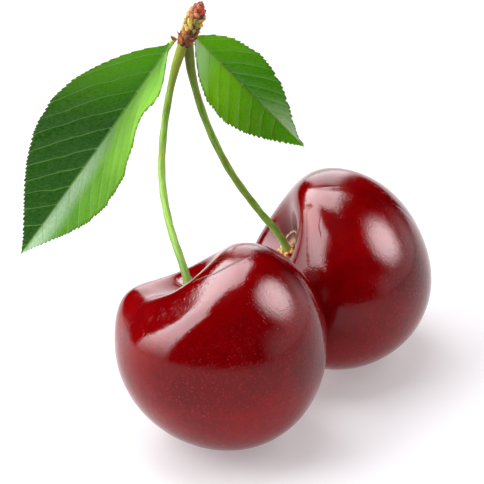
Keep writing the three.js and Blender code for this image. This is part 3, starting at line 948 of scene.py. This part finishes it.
floor = add_primitive(bpy.ops.mesh.primitive_plane_add, "studio_floor", size=8,
                      location=(0, 0, -0.02 * MM))
floor.data.materials.append(studio_finish())

STUDIO_CENTRE = Vector((0.004, -0.006, 0.014))


def softbox(name, heading, rise, distance, size, glow):
    """A soft light that lights the pieces and is not seen itself."""
    towards = Vector(compass(heading, rise))
    light = bpy.data.lights.new(name, "AREA")
    light.shape = "RECTANGLE"
    light.size, light.size_y = size
    light.energy = glow * np.pi * size[0] * size[1]
    lamp = bpy.data.objects.new(name, light)
    bpy.context.scene.collection.objects.link(lamp)
    lamp.location = STUDIO_CENTRE + towards * distance
    lamp.rotation_euler = (-towards).to_track_quat("-Z", "Y").to_euler()
    lamp.visible_camera = lamp.visible_glossy = False


softbox("left_box", 192, 36, 0.5, (0.36, 0.50), 4.4)
softbox("top_box", 135, 70, 0.5, (0.28, 0.56), 3.8)
softbox("back_panel", 90, 17, 0.6, (0.30, 0.34), 1.6)
softbox("right_box", 16, 40, 0.5, (0.38, 0.42), 1.2)


class Room(Finish):
    """The room as rays that leave the scene meet it, joined up like a finish."""

    def __init__(self, name):
        self.world = bpy.data.worlds.new(name)
        self.world.use_nodes = True
        self.tree = self.world.node_tree
        self.output = self.tree.nodes["World Output"]

    def window(self, value, start, end, edge):
        """1 from start to end with soft edges, 0 outside."""
        opens = self.spread(value, start - edge, start + edge)
        return self.math("MULTIPLY", opens, self.spread(value, end - edge, end + edge, 1.0, 0.0))

    def glow(self, tint, strength):
        return self.node("Background", Color=tint, Strength=strength).outputs[0]

    def choose(self, share, first, second):
        mixed = self.node("MixShader", Fac=share)
        self.feed(mixed.inputs[1], first)
        self.feed(mixed.inputs[2], second)
        return mixed.outputs[0]


WRAP = 140                              # headings are read from -40 to 320 about this one
room = Room("studio_air")
towards = room.node("TexCoord").outputs["Generated"]
turned_room = room.node("VectorRotate", {"rotation_type": "Z_AXIS"}, Vector=towards,
                        Angle=np.radians(-WRAP)).outputs["Vector"]
parts = room.node("SeparateXYZ", Vector=turned_room).outputs
heading = room.math("ADD", room.math("DEGREES", room.math("ARCTAN2", parts["Y"], parts["X"])), WRAP)
rise = room.math("DEGREES", room.math("ARCSINE", parts["Z"]))

# The light that bends from the left round to the back, from its sill up to its top edge
left_drop = room.spread(heading, 138.0, 160.0, 0.0, -40.0)
sill = room.math("ADD", room.spread(heading, 98.0, 114.0, 40.0, 31.0), left_drop)
above_sill = room.spread(room.math("SUBTRACT", rise, sill), -2.5, 2.5)
head_room = room.math("SUBTRACT", room.spread(heading, 104.0, 126.0, 71.0, 65.0), rise)
below_top = room.spread(head_room, -4.0, 4.0)
band = room.math("MULTIPLY", room.window(heading, 75.0, 208.0, 5.0),
                 room.math("MULTIPLY", above_sill, below_top))
evenness = room.spread(rise, -2.0, 36.0, 0.1, 1.0)
band_glow = room.math("MULTIPLY", room.math("MULTIPLY", band, evenness),
                      room.spread(heading, 88.0, 122.0, 13.0, 17.5))

# The panel behind, the rounder light on the right and a low pale wall under that
panel = room.math("MULTIPLY", room.window(heading, 81.0, 102.0, 3.0),
                  room.window(rise, -14.0, 32.5, 3.0))
panel_glow = room.math("MULTIPLY", panel, 3.4)
round_light = room.node("VectorMath", {"operation": "DOT_PRODUCT"})
room.feed(round_light.inputs[0], towards)
room.feed(round_light.inputs[1], tuple(compass(13, 37)))
oval = room.spread(round_light.outputs["Value"], 0.87, 1.0)
oval_glow = room.math("MULTIPLY", room.math("POWER", oval, 2.0), 21.0)
low_wall = room.math("MULTIPLY", room.window(heading, -32.0, 48.0, 12.0),
                     room.window(rise, -12.0, 18.0, 10.0))
wall_glow = room.math("MULTIPLY", low_wall, 1.5)
mirrored = room.math("ADD", room.math("ADD", band_glow, panel_glow),
                     room.math("ADD", oval_glow, wall_glow))

rays = room.node("LightPath").outputs
white = (1.0, 1.0, 1.0, 1.0)
unseen = room.choose(rays["Is Glossy Ray"], room.glow(white, 0.17),
                     room.glow(colour(255, 248, 252), mirrored))
room.feed(room.output.inputs["Surface"],
          room.choose(rays["Is Camera Ray"], unseen, room.glow(white, 1.0)))
bpy.context.scene.world = room.world

camera_data = bpy.data.cameras.new("camera")
camera_data.sensor_width = 36
camera_data.lens = 203.8
camera = bpy.data.objects.new("camera", camera_data)
bpy.context.scene.collection.objects.link(camera)
ELEVATION = 26
AIM = (cad_low + cad_high) / 2 + Vector((3.254, -0.052, -5.48)) * MM
DISTANCE = 0.3373
camera.location = AIM + Vector(compass(-90, ELEVATION)) * DISTANCE
camera.rotation_euler = (np.radians(90 - ELEVATION), 0, 0)
bpy.context.scene.camera = camera
bpy.context.scene.view_settings.view_transform = "Standard"
